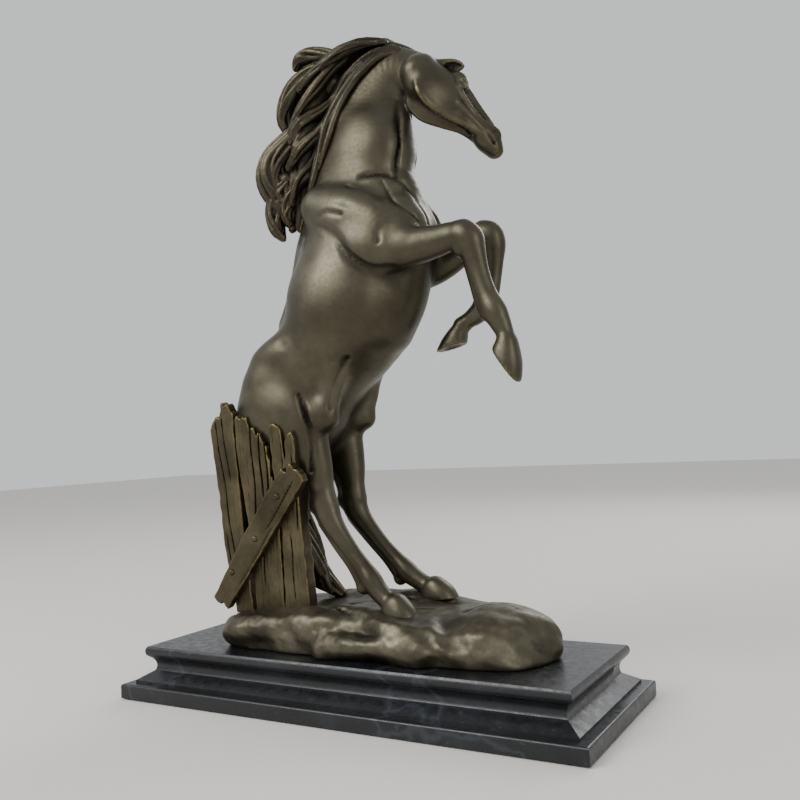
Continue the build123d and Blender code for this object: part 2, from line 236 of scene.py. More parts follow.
class Clay:
    """Modelling clay: the distance to its surface, in millimetres, at evenly spaced points."""

    far = 30.0

    def __init__(self, low, high, step):
        self.low = np.array(low, float)
        self.step = step
        count = np.ceil((np.array(high) - self.low) / step).astype(int) + 1
        self.depth = np.full(count, self.far, np.float32)

    def window(self, low, high):
        """The part of the block between two corners, and the x, y and z of its points."""
        first = np.maximum(np.floor((np.array(low) - self.low) / self.step).astype(int), 0)
        last = np.minimum(np.ceil((np.array(high) - self.low) / self.step).astype(int) + 1,
                          self.depth.shape)
        cut = tuple(slice(a, max(a, b)) for a, b in zip(first, last))
        axes = [(np.arange(s.start, s.stop) * self.step + o).astype(np.float32)
                for s, o in zip(cut, self.low)]
        return cut, np.ix_(*axes)

    def merge(self, cut, distance, blend, carve=False):
        """Joins a shape to the clay, or cuts it out, with a soft fillet as wide as blend."""
        old = self.depth[cut]
        if carve:
            near = np.maximum(blend - np.abs(old + distance), 0)
            self.depth[cut] = np.maximum(old, -distance) + near * near / (4 * blend)
        else:
            near = np.maximum(blend - np.abs(old - distance), 0)
            self.depth[cut] = np.minimum(old, distance) - near * near / (4 * blend)

    def roll(self, stations, blend, side=(0, 1, 0), parts=6, carve=False, square=2.0):
        """A rolled form through oval sections: x, y, z, half width towards side, half depth."""
        path = smooth_path(stations, parts)
        room = path[:, 3:].max() + blend + 2 * self.step
        cut, _ = self.window(path[:, :3].min(0) - room, path[:, :3].max(0) + room)
        form = np.full([s.stop - s.start for s in cut], self.far, np.float32)
        for start, end in zip(path, path[1:]):
            a, b = start[:3], end[:3]
            length = np.linalg.norm(b - a)
            if length < 1e-6:
                continue
            along = (b - a) / length
            across = np.array(side) - along * np.dot(side, along)
            across /= np.linalg.norm(across)
            down = np.cross(along, across)
            room = max(start[3:].max(), end[3:].max()) + blend + 2 * self.step
            near, (x, y, z) = self.window(np.minimum(a, b) - room, np.maximum(a, b) + room)
            x, y, z = x - np.float32(a[0]), y - np.float32(a[1]), z - np.float32(a[2])
            along, across, down = (v.astype(np.float32) for v in (along, across, down))
            run = x * along[0] + y * along[1] + z * along[2]
            share = np.clip(run / np.float32(length), 0, 1)
            wide = np.float32(start[3]) + np.float32(end[3] - start[3]) * share
            deep = np.float32(start[4]) + np.float32(end[4] - start[4]) * share
            u = np.abs(x * across[0] + y * across[1] + z * across[2]) / wide
            v = np.abs(x * down[0] + y * down[1] + z * down[2]) / deep
            thin = np.minimum(wide, deep)
            w = np.abs(run - share * np.float32(length)) / thin
            if square == 2.0:
                k0 = np.sqrt(u * u + v * v + w * w)
                k1 = np.sqrt((u / wide) ** 2 + (v / deep) ** 2 + (w / thin) ** 2)
                distance = k0 * (k0 - 1) / np.maximum(k1, 1e-6)
            else:
                distance = ((u ** square + v ** square + w ** square) ** (1 / square) - 1) * thin
            inner = tuple(slice(n.start - c.start, n.stop - c.start) for n, c in zip(near, cut))
            form[inner] = np.minimum(form[inner], distance)
        self.merge(cut, form, blend, carve)

    def pad(self, centre, radii, blend, along=(1, 0, 0), side=(0, 1, 0), carve=False):
        """An egg of clay: radii along, towards side, and at right angles to both."""
        along = np.array(along, float) / np.linalg.norm(along)
        across = np.array(side) - along * np.dot(side, along)
        across /= np.linalg.norm(across)
        down = np.cross(along, across)
        room = max(radii) + blend + 2 * self.step
        cut, (x, y, z) = self.window(np.array(centre) - room, np.array(centre) + room)
        x, y, z = (p - np.float32(c) for p, c in zip((x, y, z), centre))
        k0 = np.float32(0)
        k1 = np.float32(0)
        for axis, radius in zip((along, across, down), radii):
            ax, ay, az = axis.astype(np.float32)
            part = (x * ax + y * ay + z * az) / np.float32(radius)
            k0 = k0 + part * part
            k1 = k1 + (part / np.float32(radius)) ** 2
        k0 = np.sqrt(k0)
        self.merge(cut, k0 * (k0 - 1) / np.maximum(np.sqrt(k1), 1e-6), blend, carve)

    def scrap(self, low, high):
        """A separate block on the same points, for shaping a part before it is joined on."""
        first = np.round((np.array(low) - self.low) / self.step)
        return Clay(self.low + first * self.step, high, self.step)

    def join(self, other, blend):
        """Joins a separately shaped block on."""
        first = np.round((other.low - self.low) / self.step).astype(int)
        ends = [(max(f, 0), min(f + n, m)) for f, n, m in zip(first, other.depth.shape, self.depth.shape)]
        cut = tuple(slice(a, b) for a, b in ends)
        inner = tuple(slice(a - f, b - f) for (a, b), f in zip(ends, first))
        self.merge(cut, other.depth[inner], blend)

    def shave(self, point, normal, blend, room):
        """Cuts off what stands beyond a plane, within some room of a point on it."""
        normal = np.array(normal, float) / np.linalg.norm(normal)
        cut, (x, y, z) = self.window(np.array(point) - room, np.array(point) + room)
        beyond = (x - point[0]) * normal[0] + (y - point[1]) * normal[1] + (z - point[2]) * normal[2]
        self.merge(cut, -beyond.astype(np.float32), blend, carve=True)

    def relief(self, points, reach):
        """How far each point stands out of its surroundings, or lies in a hollow, within a reach."""
        soft = np.clip(self.depth, -reach, reach)
        width = max(int(round(reach / self.step)), 1)
        for axis in range(3):
            count = soft.shape[axis]
            margin = [(width + 1, width) if a == axis else (0, 0) for a in range(3)]
            total = np.cumsum(np.pad(soft, margin, mode="edge"), axis=axis, dtype=np.float64)
            ahead, behind = (total.take(range(a, a + count), axis) for a in (2 * width + 1, 0))
            soft = ((ahead - behind) / (2 * width + 1)).astype(np.float32)
        index = np.round((points - self.low) / self.step).astype(int)
        index = tuple(np.clip(index, 0, np.array(soft.shape) - 1).T)
        return (soft[index] - self.depth[index]) / reach

    def skin(self, rounds=2):
        """Points and faces of the surface, smoothed a little."""
        grid = openvdb.FloatGrid(self.far)
        grid.copyFromArray(self.depth)
        points, _, quads = grid.convertToPolygons(isovalue=0.0, adaptivity=0.0)
        points = points * self.step + self.low
        quads = quads.astype(int)
        for _ in range(rounds):
            total = np.zeros_like(points)
            count = np.zeros(len(points))
            for a, b in ((0, 1), (1, 2), (2, 3), (3, 0)):
                for here, there in ((quads[:, a], quads[:, b]), (quads[:, b], quads[:, a])):
                    for axis in range(3):
                        total[:, axis] += np.bincount(here, points[there, axis], len(points))
                    count += np.bincount(here, minlength=len(points))
            points = points * 0.5 + 0.5 * total / count[:, None]
        return points, quads


def smooth_path(stations, parts):
    """Smooth curve through rows of numbers, with that many steps from one row to the next."""
    rows = np.array(stations, float)
    rows = np.vstack([2 * rows[0] - rows[1], rows, 2 * rows[-1] - rows[-2]])
    t = np.linspace(0, 1, parts, endpoint=False)[:, None]
    path = [
        0.5 * (2 * b + (c - a) * t + (2 * a - 5 * b + 4 * c - d) * t ** 2 + (3 * b - 3 * c + d - a) * t ** 3)
        for a, b, c, d in zip(rows, rows[1:], rows[2:], rows[3:])
    ]
    return np.vstack(path + [rows[-2:-1]])


def ripple(x, y, z, wavelength, seed, waves=7):
    """Smooth random relief between about -1 and 1, with bumps of roughly one wavelength."""
    draw = np.random.default_rng(seed)
    total = np.float32(0)
    for _ in range(waves):
        direction = draw.normal(size=3)
        direction *= 2 * pi / (wavelength * draw.uniform(0.7, 1.4) * np.linalg.norm(direction))
        phase = draw.uniform(0, 2 * pi)
        wave = x * np.float32(direction[0]) + y * np.float32(direction[1]) + z * np.float32(direction[2])
        total = total + np.sin(wave + np.float32(phase))
    return total / waves * 2.0


def place_piece(mesh, material, node_name):
    """Puts a finished mesh in the scene, under its own name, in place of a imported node."""
    most_triangles = 185000
    mesh.materials.append(material)
    piece = bpy.data.objects.new(mesh.name, mesh)
    bpy.context.scene.collection.objects.link(piece)
    triangles = sum(len(face.vertices) - 2 for face in mesh.polygons)
    if triangles > most_triangles:
        piece.modifiers.new("thin_out", "DECIMATE").ratio = most_triangles / triangles
    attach(piece, "root")
    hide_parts(node_name)


def keep_reliefs(mesh, reliefs):
    """Stores the reliefs of a skin on the points of its mesh, where the patina reads them."""
    for label, values in reliefs.items():
        mesh.attributes.new(label, "FLOAT", "POINT").data.foreach_set("value", values.astype(np.float32))


def cast(name, points, quads, reliefs, material, node_name):
    """Makes a bronze piece from a skin in millimetres."""
    mesh = bpy.data.meshes.new(name)
    mesh.from_pydata((points * MM).tolist(), [], quads.tolist())
    mesh.polygons.foreach_set("use_smooth", [True] * len(mesh.polygons))
    keep_reliefs(mesh, reliefs)
    place_piece(mesh, material, node_name)


def reliefs_of(clay, points, fine, broad):
    """Fine and broad relief of a skin, each measured over its own reach in millimetres."""
    return {"fine_relief": clay.relief(points, fine), "broad_relief": clay.relief(points, broad)}


def bronze(name, low, mid, high, rub, rough, mottle):
    """Cast bronze with a chemical patina under wax, from sRGB colours and a mottle size."""
    material = new_material(name)
    place = node(material, "TexCoord").outputs["Object"]
    fine = node(material, "Attribute", attribute_name="fine_relief").outputs["Fac"]
    broad = node(material, "Attribute", attribute_name="broad_relief").outputs["Fac"]
    # mottling of the patina, as wide as the dabs of the brush
    cloud = node(material, "TexNoise", [("Vector", place)], in_Scale=pattern_scale(mottle), in_Detail=5.0,
                 in_Roughness=0.6)
    patina = ramp(material, cloud.outputs[0], [(0.32, srgb(low)), (0.52, srgb(mid)), (0.74, srgb(high))])
    # skin of the mould; its grain is about 0.3 mm and is drawn eight times as coarse to show
    grain = node(material, "TexNoise", [("Vector", place)], in_Scale=pattern_scale(2.38), in_Detail=4.0,
                 in_Roughness=0.65)
    # dark oxide left in the hollows
    hollow = node(material, "MapRange", [(0, fine)], in_1=-0.02, in_2=-0.22)
    deep = node(material, "MapRange", [(0, broad)], in_1=-0.02, in_2=-0.35)
    oxide = node(material, "Math", [(0, hollow.outputs[0]), (1, deep.outputs[0])], operation="MAXIMUM")
    shaded = node(material, "Mix", [(0, oxide.outputs[0]), (6, patina)], data_type="RGBA",
                  in_7=srgb("16130e"))
    # metal rubbed bare on the ridges
    ridge = node(material, "MapRange", [(0, fine)], in_1=0.16, in_2=0.60)
    patch = node(material, "MapRange", [(0, grain.outputs[0])], in_1=0.25, in_2=0.65)
    bare = node(material, "Math", [(0, ridge.outputs[0]), (1, patch.outputs[0])], operation="MULTIPLY")
    colour = node(material, "Mix", [(0, bare.outputs[0]), (6, shaded.outputs[2])], data_type="RGBA",
                  in_7=srgb(rub))
    # wax: a soft sheen, matt in the hollows
    sheen = node(material, "MapRange", [(0, grain.outputs[0])], in_1=0.3, in_2=0.7, in_3=rough - 0.06,
                 in_4=rough + 0.08)
    wax = node(material, "MapRange", [(0, oxide.outputs[0]), (3, sheen.outputs[0])], in_4=0.75)
    bump = node(material, "Bump", [("Height", grain.outputs[0])], in_Strength=0.16, in_Distance=0.0003)
    links = [("Base Color", colour.outputs[2]), ("Roughness", wax.outputs[0]), ("Normal", bump.outputs[0])]
    surface = node(material, "BsdfPrincipled", links, in_Metallic=0.85)
    node(material, "OutputMaterial", [(0, surface.outputs[0])])
    return material


marble_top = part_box("marble_moulded_tier")[1][2] / MM
# unchased cast bronze: olive brown in thumb-sized blotches, slightly rough, paler on the ridges
ground_bronze = bronze("mottled_ground_bronze", "3d392f", "545041", "706b5c", "948c74", rough=0.42,
                       mottle=25)
ground = Clay((-126, -54, marble_top - 4), (142, 54, 82), step=1.0)
ground.roll([
    (-106, -2, 44, 20, 12), (-88, -2, 44, 38, 19), (-58, 1, 44, 42, 21), (-20, 2, 44, 43, 22),
    (20, 2, 44, 44, 22), (60, 1, 44, 43, 20), (84, 0, 42, 38, 15), (98, 0, 40, 26, 10),
], 6, square=2.8)
# the hill climbs towards the back, under the left hind hoof
ground.pad((10, 24, 46), (80, 20, 25), 14)
# boulder at the front end, with two flat spalled faces
ground.pad((95, 0, 45), (40, 40, 25), 7)
ground.shave((121, -18, 52), (0.80, -0.40, 0.45), 5, 26)
ground.shave((104, -36, 50), (0.35, -0.90, 0.30), 5, 26)
# the furrow between the earth and the boulder
ground.roll([(52, 16, 73, 1, 1), (57, 2, 72, 2, 2), (62, -12, 70, 2.4, 2.4), (70, -27, 64, 2.4, 2.4),
             (80, -38, 56, 2.0, 2.0), (90, -45, 46, 1, 1)], 9, carve=True)
# soft folds where the wet clay slumped along the front
folds = [
    [(-100, -34, 46, 3, 3), (-74, -37, 53, 3, 3), (-44, -37, 56, 3, 3), (-14, -34, 59, 2, 2)],
    [(-14, -44, 43, 3, 3), (26, -45, 46, 3, 3), (58, -45, 45, 3, 3)],
    [(-40, -30, 61, 2, 2), (-8, -24, 63, 3, 3), (26, -34, 60, 3, 3), (52, -42, 52, 2, 2)],
]
for fold in folds:
    ground.roll(fold, 12)


def ground_level(x, y):
    """Height of the modelled ground at a place."""
    i, j = (int(round((v - low) / ground.step)) for v, low in zip((x, y), ground.low))
    return ground.low[2] + ground.step * np.flatnonzero(ground.depth[i, j] < 0).max()


# strokes of the modelling tool, drawn down the slopes
stroke_draw = np.random.default_rng(4)
for _ in range(16):
    x, y = stroke_draw.uniform(-92, 96), stroke_draw.uniform(-38, 34)
    turn = stroke_draw.uniform(-0.5, 0.5)
    spots = [(x + t * cos(turn), y + t * sin(turn)) for t in (0, 9, 18, 27)]
    spots = [(u, max(-40, min(38, v))) for u, v in spots]
    wide = stroke_draw.uniform(0.7, 1.3)
    ground.roll([(u, v, ground_level(u, v) + 0.95 * wide, wide * w, wide * w)
                 for (u, v), w in zip(spots, (0.5, 1, 1, 0.5))], 2.2, carve=True)
# lumps, pits and grit of the earth, each to its own wavelength, then the flat foot on the marble
whole_ground = 400
cut, (x, y, z) = ground.window(ground.low, ground.low + whole_ground)
ground.depth[cut] += 1.0 * ripple(x, y * 1.5, z * 2.0, 34.0, 11) + 0.24 * ripple(x, y, z, 11.0, 12)
ground.depth[cut] += 0.09 * ripple(x, y, z, 4.5, 13)
ground.shave((8, 0, marble_top), (0, 0, -1), 0.4, whole_ground)
points, quads = ground.skin()
ground_reliefs = reliefs_of(ground, points, fine=2.5, broad=8.0)
cast("ground_casting_earth", points, quads, ground_reliefs, ground_bronze, "ground_casting")

# Horse: hollow bronze castings, welded along flat cuts, chased smooth and patinated as one skin.
# The whole animal is modelled first and then cut where the foundry cuts it.

# chased and waxed bronze: smooth dark olive skin, the glossiest of the castings
horse_bronze = bronze("waxed_horse_bronze", "3a3629", "4c483a", "625f50", "96865a", rough=0.38, mottle=62.5)
horse = Clay((-124, -48, 52), (140, 52, 470), step=0.9)


def both(stations, blend, carve=False):
    """Adds a roll on the right side of the body and its mirror image on the left."""
    horse.roll(stations, blend, carve=carve)
    horse.roll([(x, -y, z, *sizes) for x, y, z, *sizes in stations], blend, carve=carve)


def both_pads(x, y, z, radii, blend, along=(1, 0, 0), carve=False):
    """Adds a pad on the right side of the body and its mirror image on the left."""
    for hand in (1, -1):
        horse.pad((x, y * hand, z), radii, blend, along, carve=carve)


# trunk: croup, loin, barrel and chest, and the neck arched over to the poll
horse.roll([
    (-59, 0, 184, 26, 26), (-54, 0, 205, 36, 37), (-42, 0, 225, 38, 38), (-27, 0, 244, 38, 40),
    (-12, 0, 261, 39, 43.5), (-2.5, 0, 282, 39, 46.5), (4, 0, 303, 37, 48), (9, 0, 322, 33, 47),
    (9, 0, 338, 29, 45), (7, 0, 354, 25, 41), (8, 1, 376, 21, 38), (10, 3, 398, 19, 36),
], 4, parts=5)
horse.roll([
    (9, 1, 380, 20, 37), (10, 3, 400, 18.5, 35), (16, 6, 418, 17, 32), (29, 8, 430, 15, 26),
    (43, 11, 429, 14, 21.5), (57, 14.5, 423, 13, 17.5),
], 6, parts=5)
# withers, ribs and the keel of the chest
horse.roll([(-34, 0, 338, 8, 8), (-41, 0, 322, 9, 8), (-47, 0, 300, 10, 7), (-59, 0, 268, 10, 7)], 14)
both([(46, -11, 334, 11, 9), (52, -12, 322, 12, 10), (48, -13, 306, 10, 9)], 6)
horse.roll([(47, 0, 320, 17, 13), (43, 0, 296, 19, 14), (37, 0, 272, 19, 13), (26, 0, 252, 18, 11)], 8)
both_pads(-6, -20, 274, (32, 20, 38), 14, along=(0.5, 0, 0.86))
# point of hip, croup and the round of the quarters
both_pads(-56, -28, 243, (17, 8, 9), 14, along=(1, 0, 0.25))
both_pads(-69, -20, 216, (26, 18, 20), 12, along=(0.3, 0, 0.95))
both_pads(-77, -17, 196, (14, 14, 22), 12, along=(1, 0, 0))
horse.roll([(-88, 2, 222, 9, 8), (-94, 2, 212, 8, 8), (-98, 3, 204, 7, 7)], 8)

# hind legs: thigh, stifle and gaskin, then hock, cannon, fetlock and pastern
thigh = [(-60, -19, 224, 17, 25), (-54, -21, 206, 17, 31), (-46, -22, 190, 15, 29), (-36, -22, 174, 12, 20),
         (-29, -21, 160, 9.5, 13.5), (-26, -20, 148, 7.6, 10), (-24.5, -19.5, 138, 7.5, 9.6)]
right_shank = [(-24.5, -19.5, 141, 7, 8), (-23, -19, 133, 7.6, 10), (-19, -19, 124, 6.8, 8.6),
               (-12, -18.5, 114, 5.5, 6.9), (-3, -18, 102, 5.0, 6.2), (5, -18, 92.5, 5.4, 6.5),
               (10.5, -18, 85, 6.9, 7.6), (16, -18.5, 78.5, 6.4, 6.9), (22, -19, 73, 6.0, 6.4),
               (27, -19.5, 69.5, 6.2, 6.4)]
left_shank = [(-26, 20, 141, 7, 8), (-25, 20, 133, 7.6, 10), (-20.5, 20, 124, 6.8, 8.6),
              (-12, 20, 114, 5.5, 6.9), (-1, 20, 102, 5.0, 6.2), (9, 20, 92.5, 5.4, 6.5),
              (16, 20, 86, 6.9, 7.6), (23, 20, 81, 6.4, 6.9), (30, 20, 77, 6.0, 6.4), (35, 20, 74, 6.2, 6.4)]
both(thigh, 6)
horse.roll(right_shank, 3)
horse.roll(left_shank, 3)
both_pads(-20, -24, 196, (9, 8, 13), 8, along=(0.2, 0, 1))
both([(-8, -24, 226, 5, 8), (-12, -24, 210, 6, 8), (-18, -23, 198, 6, 7)], 8)
for y, shift, fall in ((-19.5, 0.0, 0.0), (20, -1.5, 6.0)):
    horse.roll([(shift - 46, y * 1.08, 168, 3, 5), (shift - 38, y, 154, 2.6, 3.4),
                (shift - 34, y, 142, 2.8, 3.2),
                (shift - 33, y, 134, 3.2, 3.6)], 5)
    horse.pad((shift - 32, y, 136.5), (4.2, 3.6, 5.0), 3, along=(0.3, 0, 1))
    horse.roll([(shift - 27, y, 122, 2.2, 2.0), (-16 + fall * 0.2, y, 107, 2.2, 2.0),
                (-5 + fall * 0.6, y, 93.5, 2.2, 2.0), (3 + fall, y, 82, 3.0, 3.0)], 2.5)
    # ergot: the rounded back of the fetlock, with a step down to the pastern
    horse.pad((5 + fall, y, 79), (4.6, 4.6, 3.8), 2.2, along=(0.8, 0, -0.4))


def hoof(coronet, toe, heel, half_width):
    """Hoof wall from the coronet down to a flat sole between toe and heel, cut off square below it."""
    coronet, toe, heel = (np.array(p, float) for p in (coronet, toe, heel))
    sole = (toe + heel) / 2
    reach = np.linalg.norm(toe - heel) / 2
    down = sole - coronet
    level = (toe - heel) / np.linalg.norm(toe - heel)
    normal = np.cross(level, np.cross(down, level))
    normal /= np.linalg.norm(normal)
    block = horse.scrap(np.minimum(coronet, sole) - 24, np.maximum(coronet, sole) + 24)
    block.roll([
        (*(coronet + down * 0.10), half_width * 0.66, reach * 0.52),
        (*(coronet + down * 0.30), half_width * 0.82, reach * 0.68),
        (*(coronet + down * 0.65), half_width * 0.94, reach * 0.86),
        (*sole, half_width, reach),
        (*(sole + down * 0.4), half_width, reach * 1.05),
    ], 0.5, square=2.3)
    block.shave(sole, normal, 1.0, 30)
    block.pad(sole, (reach * 0.72, half_width * 0.72, 1.6), 1.2, along=level, carve=True)
    horse.join(block, 1.2)


hoof((29, -19.5, 72), (46, -20, 61), (19, -20, 60), half_width=9.5)
hoof((37, 20, 77), (55, 20, 67.5), (28, 20, 67), half_width=9.5)

# shoulder, arm and elbow, then forearm, knee, cannon, fetlock and pastern of each foreleg
both([(-18, -20, 344, 12, 14), (6, -25, 334, 12, 18), (30, -27, 322, 11, 17), (40, -25, 312, 10, 14)], 7)
both_pads(24, -26, 309, (23, 13, 16), 7, along=(1, 0, -0.3))
both([(38, -18, 330, 9, 10), (48, -22, 320, 9, 9), (54, -24, 310, 8, 8)], 6)
horse.roll([(30, -25, 306, 12, 17), (48, -25, 304, 10.5, 14), (62, -24.5, 304, 9.2, 12.4),
            (76, -24, 305, 7.8, 10.6),
            (88, -24, 306.5, 7.0, 9.2), (96, -24, 305.5, 7.6, 9.4)], 5)
horse.roll([(94, -24, 307, 7.8, 9), (99, -24, 303, 8.2, 9.6), (101, -24, 296, 7.2, 8.6),
            (103, -24, 287, 5.8, 7.4),
            (105.5, -24, 277, 5.2, 6.8), (109, -24, 266, 5.4, 7.0), (113.5, -24, 256, 6.6, 8.2),
            (117, -24, 248.5, 5.8, 7.0), (120, -24, 241, 5.2, 5.8), (121, -24, 236, 6.4, 6.6)], 3)
horse.roll([(28, 22, 300, 12, 17), (44, 22, 298, 10.5, 14), (58, 22, 301, 9.2, 12.2),
            (71, 22, 306.5, 7.8, 10.4),
            (82, 22, 312, 7.0, 9.2), (89, 22, 315, 7.6, 9.4)], 5)
horse.roll([(88, 22, 316, 7.8, 9), (93.5, 22, 314, 8.2, 9.4), (95.5, 22, 307, 7.4, 8.6),
            (95, 22, 297, 5.8, 7.2),
            (93.5, 22, 286, 5.2, 6.6), (91, 22, 276, 5.6, 7.0), (87, 22, 267.5, 6.8, 8.0),
            (80.5, 22, 261.5, 6.0, 7.0), (74, 22, 258, 5.2, 5.8), (69, 22, 255, 6.2, 6.4)], 3)
for stretch in (
    [(97, -24, 286, 2.2, 2.0), (99.5, -24, 275, 2.2, 2.0), (102.5, -24, 263, 2.4, 2.2),
     (107, -24, 253, 3.2, 3.0)],
    [(89, 22, 296, 2.2, 2.0), (87.5, 22, 285, 2.2, 2.0), (85, 22, 275, 2.4, 2.2), (82.5, 22, 270, 3.2, 3.0)],
):
    horse.roll(stretch, 2.5)
horse.pad((92, -24, 297), (4.5, 5, 5), 3)
horse.pad((86, 22, 305), (4.5, 5, 5), 3)
hoof((121.5, -24, 237), (125, -24, 212.5), (112.5, -24, 231), half_width=8.6)
hoof((68, 22, 254), (52, 22, 238.5), (70, 22, 242.5), half_width=8.6)

# head: turned away to the left, tucked and rolled a little, worked in its own directions
poll = np.array((64.5, 16.3, 440.6))
muzzle_way = np.array((0.4875, 0.398, -0.777))
left_way = np.array((-0.766, 0.6215, -0.163))
brow_way = np.cross(muzzle_way, left_way)


def face(u, v, w=0.0):
    """A place on the head: along it from the poll, out of the forehead, and to its left."""
    return tuple(poll + muzzle_way * u + brow_way * v + left_way * w)


def face_roll(stations, blend, hand=1, carve=False):
    """A roll on the head through sections given in its own directions; hand -1 is its right side."""
    placed = [(*face(u, v, w * hand), wide, deep) for u, v, w, wide, deep in stations]
    horse.roll(placed, blend, side=left_way, carve=carve)


def face_pad(u, v, w, radii, blend, hand=1, carve=False):
    """A pad on the head at a place in its own directions; hand -1 is its right side."""
    horse.pad(face(u, v, w * hand), radii, blend, along=muzzle_way, side=left_way, carve=carve)


face_roll([
    (-2, -19, 0, 11.5, 13.5), (9, -20, 0, 12.4, 17), (20, -18.8, 0, 12.2, 19.4), (30, -16.2, 0, 10.2, 17),
    (41, -13, 0, 8.0, 12.8), (52, -11.4, 0, 7.6, 10.2), (60, -11.6, 0, 7.9, 9.6), (67, -12.4, 0, 7.6, 8.8),
    (72, -13.4, 0, 6.4, 6.6),
], 3)
for hand in (-1, 1):
    # cheek, and the sharp lower edge of its jaw bone
    face_pad(16, -22, 7.6, (15, 5.4, 14), 5, hand)
    face_roll([(4, -32, 7.0, 1.2, 1.6), (11, -36, 8.6, 2.2, 3.0), (22, -36.5, 8.4, 2.2, 3.0),
               (34, -30, 6.4, 2.0, 2.8), (46, -22, 4.6, 1.8, 2.4), (56, -18, 4.0, 1.6, 2.2)], 3, hand)
    # facial crest, nasal bone and the muscle lines between them
    face_roll([(24, -12, 11.0, 1.8, 2.0), (33, -12, 9.6, 1.8, 1.8), (43, -11.4, 7.2, 1.4, 1.4),
               (53, -11, 5.8, 1.2, 1.2)], 2.2, hand)
    face_roll([(33, -19, 9.6, 1.6, 1.6), (44, -16.4, 7.2, 1.5, 1.5), (56, -14.6, 6.4, 1.3, 1.3)], 2, hand)
    face_roll([(29, -1.8, 5.4, 2.0, 1.8), (44, -3.2, 4.2, 1.6, 1.5), (58, -4.4, 3.6, 1.5, 1.4)], 3, hand)
    face_roll([(31, -7.6, 10.6, 1.6, 1.4), (42, -8.0, 8.6, 1.4, 1.2), (52, -8.2, 7.4, 0.8, 0.8)], 2.0, hand,
              carve=True)
    # eye: brow bone, socket, ball and two lids
    face_pad(22, -4.5, 9.4, (7.0, 4.6, 4.6), 3, hand)
    face_pad(25.0, -7.6, 13.8, (4.2, 1.8, 2.4), 1.2, hand, carve=True)
    face_pad(24.8, -7.6, 11.2, (2.9, 2.3, 2.5), 0.3, hand)
    face_roll([(20.6, -7.6, 12.4, 0.9, 0.9), (24.2, -4.6, 13.6, 1.2, 1.1), (29.0, -7.2, 12.2, 0.8, 0.8)],
              1.0, hand)
    face_roll([(21.2, -8.6, 12.6, 0.7, 0.7), (24.8, -10.4, 12.8, 0.8, 0.8), (28.6, -8.4, 12.2, 0.7, 0.7)],
              0.8, hand)
    # nostril and the corner of the mouth
    face_pad(64.0, -7.6, 5.0, (5.0, 3.0, 4.2), 2.0, hand)
    face_roll([(66.5, -6.4, 8.4, 1.2, 1.2), (64.0, -7.6, 8.6, 1.5, 1.5), (61.5, -9.8, 8.2, 0.7, 0.8)], 1.0,
              hand,
              carve=True)
    face_roll([(73.5, -14.0, 1.5, 0.8, 0.8), (69, -15.0, 6.0, 0.8, 0.8), (60, -14.4, 7.6, 0.6, 0.6)], 0.8,
              hand,
              carve=True)
# hollow between the jaw bones, and the chin
face_roll([(8, -43, 0, 5.6, 6.4), (26, -39, 0, 5.0, 8.0), (42, -26.5, 0, 3.0, 4.4), (52, -21, 0, 1.6, 2.0)],
          3,
          carve=True)
face_pad(63, -18.4, 0, (6.2, 4.6, 3.6), 2.5)

# ears: two rolled leaves; the right one turns its hollow to the side
for hand, start, tip in ((-1, (66, 12, 435.0), (82.5, 18, 432.5)), (1, (57, 24, 438), (70, 34, 443))):
    root, point = np.array(start, float), np.array(tip)
    length = np.linalg.norm(point - root)
    way = (point - root) / length
    if hand < 0:
        outward = -left_way * 0.75 - brow_way * 0.1 + muzzle_way * 0.6
    else:
        outward = left_way * 0.5 + muzzle_way
    outward = outward - way * outward.dot(way)
    outward /= np.linalg.norm(outward)
    leaf_side = np.cross(way, outward)
    horse.roll([(*(root - way * 3), 4.0, 3.6), (*(root + way * length * 0.25), 4.8, 3.8),
                (*(root + way * length * 0.6), 4.8, 3.2), (*(root + way * length * 0.85), 3.2, 2.2),
                (*point, 0.8, 0.8)], 2.2, side=leaf_side)
    horse.roll([(*(root + way * length * 0.34 + outward * 3.2), 2.2, 1.9),
                (*(root + way * length * 0.6 + outward * 2.4), 2.8, 2.0),
                (*(root + way * length * 0.84 + outward * 1.6), 1.4, 1.2)], 0.8, side=leaf_side, carve=True)

